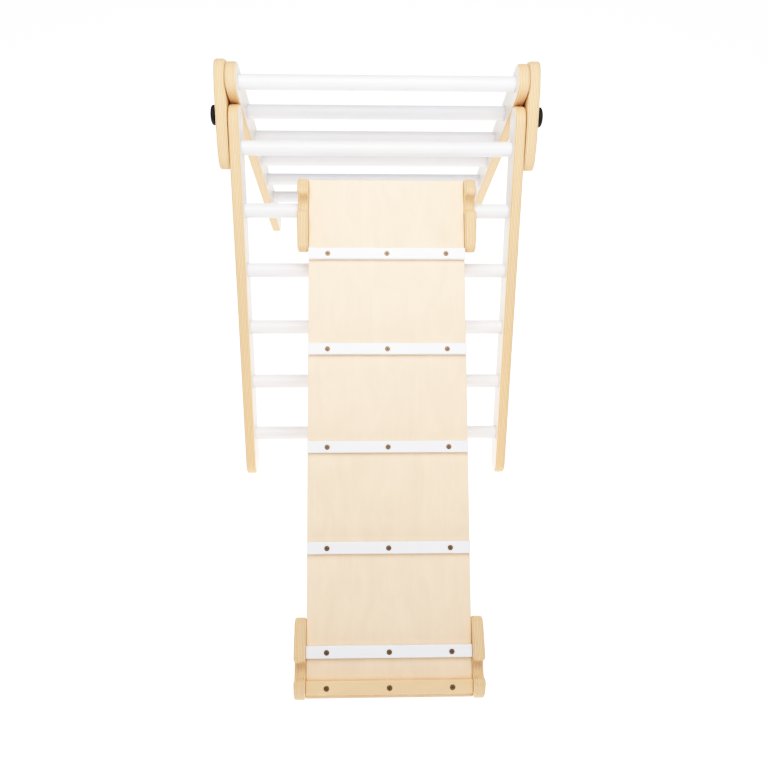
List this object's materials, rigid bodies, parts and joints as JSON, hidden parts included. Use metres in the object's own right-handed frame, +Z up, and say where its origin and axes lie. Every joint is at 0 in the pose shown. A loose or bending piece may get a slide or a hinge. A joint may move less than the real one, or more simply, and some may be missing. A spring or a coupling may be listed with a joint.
{
  "type": "climbing triangle with ramp",
  "caption": "Foldable wooden climbing triangle: two hinged ladders with round rungs, clamp knobs, and a battened toddler ramp that hooks over a rung and lifts.",
  "frame": {"origin": "middle of the whole object's box, on the floor", "axes": "+Z up, the ramp runs down towards -Y, the rungs lie along X"},
  "size_m": [0.6276, 1.3484, 0.7261],
  "materials": {
    "birch_plywood": "pale birch plywood, oiled, with its layers showing on the edges",
    "birch_board": "pale birch plywood, oiled",
    "white_lacquer": "wood under satin white lacquer",
    "black_plastic": "matt black",
    "bright_steel": "zinc plated",
    "bronzed_steel": "bronzed wood screws",
    "brass": "plain"
  },
  "bodies": {
    "front_ladder": {"front_rail_left": "birch_plywood", "front_rail_right": "birch_plywood", "front_rung_1": "white_lacquer", "front_rung_2": "white_lacquer", "front_rung_3": "white_lacquer", "front_rung_4": "white_lacquer", "front_rung_5": "white_lacquer", "front_rung_6": "white_lacquer"},
    "rear_ladder": {"link_bolt_left": "bright_steel", "link_bolt_right": "bright_steel", "link_plate_left": "birch_plywood", "link_plate_right": "birch_plywood", "pivot_bolt_left": "bright_steel", "pivot_bolt_right": "bright_steel", "rear_rail_left": "birch_plywood", "rear_rail_right": "birch_plywood", "rear_rung_1": "white_lacquer", "rear_rung_2": "white_lacquer", "rear_rung_3": "white_lacquer", "rear_rung_4": "white_lacquer", "rear_rung_5": "white_lacquer", "rear_rung_6": "white_lacquer", "threaded_insert_left": "brass", "threaded_insert_right": "brass", "top_rung": "white_lacquer"},
    "clamp_left": {"clamp_bolt_left": "bright_steel", "clamp_knob_left": "black_plastic"},
    "clamp_right": {"clamp_bolt_right": "bright_steel", "clamp_knob_right": "black_plastic"},
    "ramp": {"batten_1": "white_lacquer", "batten_1_screw_left": "bronzed_steel", "batten_1_screw_middle": "bronzed_steel", "batten_1_screw_right": "bronzed_steel", "batten_2": "white_lacquer", "batten_2_screw_left": "bronzed_steel", "batten_2_screw_middle": "bronzed_steel", "batten_2_screw_right": "bronzed_steel", "batten_3": "white_lacquer", "batten_3_screw_left": "bronzed_steel", "batten_3_screw_middle": "bronzed_steel", "batten_3_screw_right": "bronzed_steel", "batten_4": "white_lacquer", "batten_4_screw_left": "bronzed_steel", "batten_4_screw_middle": "bronzed_steel", "batten_4_screw_right": "bronzed_steel", "batten_5": "white_lacquer", "batten_5_screw_left": "bronzed_steel", "batten_5_screw_middle": "bronzed_steel", "batten_5_screw_right": "bronzed_steel", "end_bar": "birch_board", "end_bar_screw_left": "bronzed_steel", "end_bar_screw_middle": "bronzed_steel", "end_bar_screw_right": "bronzed_steel", "lower_hook_left": "birch_plywood", "lower_hook_right": "birch_plywood", "ramp_board": "birch_board", "upper_hook_left": "birch_plywood", "upper_hook_right": "birch_plywood"}
  },
  "joints": [
    {"name": "fold", "type": "hinge", "parent": "front_ladder", "child": "rear_ladder", "pos_m": [0, 0.1797, 0.5858], "axis": [-1, 0, 0], "range_deg": [0, 62]},
    {"name": "ramp_lift", "type": "hinge", "parent": "front_ladder", "child": "ramp", "pos_m": [0, 0.1181, 0.4852], "axis": [-1, 0, 0], "range_deg": [0, 60]},
    {"name": "clamp_turn_left", "type": "hinge", "parent": "rear_ladder", "child": "clamp_left", "pos_m": [-0.301, 0.2106, 0.6361], "axis": [-1, 0, 0], "range_deg": [0, 360]},
    {"name": "clamp_turn_right", "type": "hinge", "parent": "rear_ladder", "child": "clamp_right", "pos_m": [0.301, 0.2106, 0.6361], "axis": [1, 0, 0], "range_deg": [0, 360]}
  ]
}
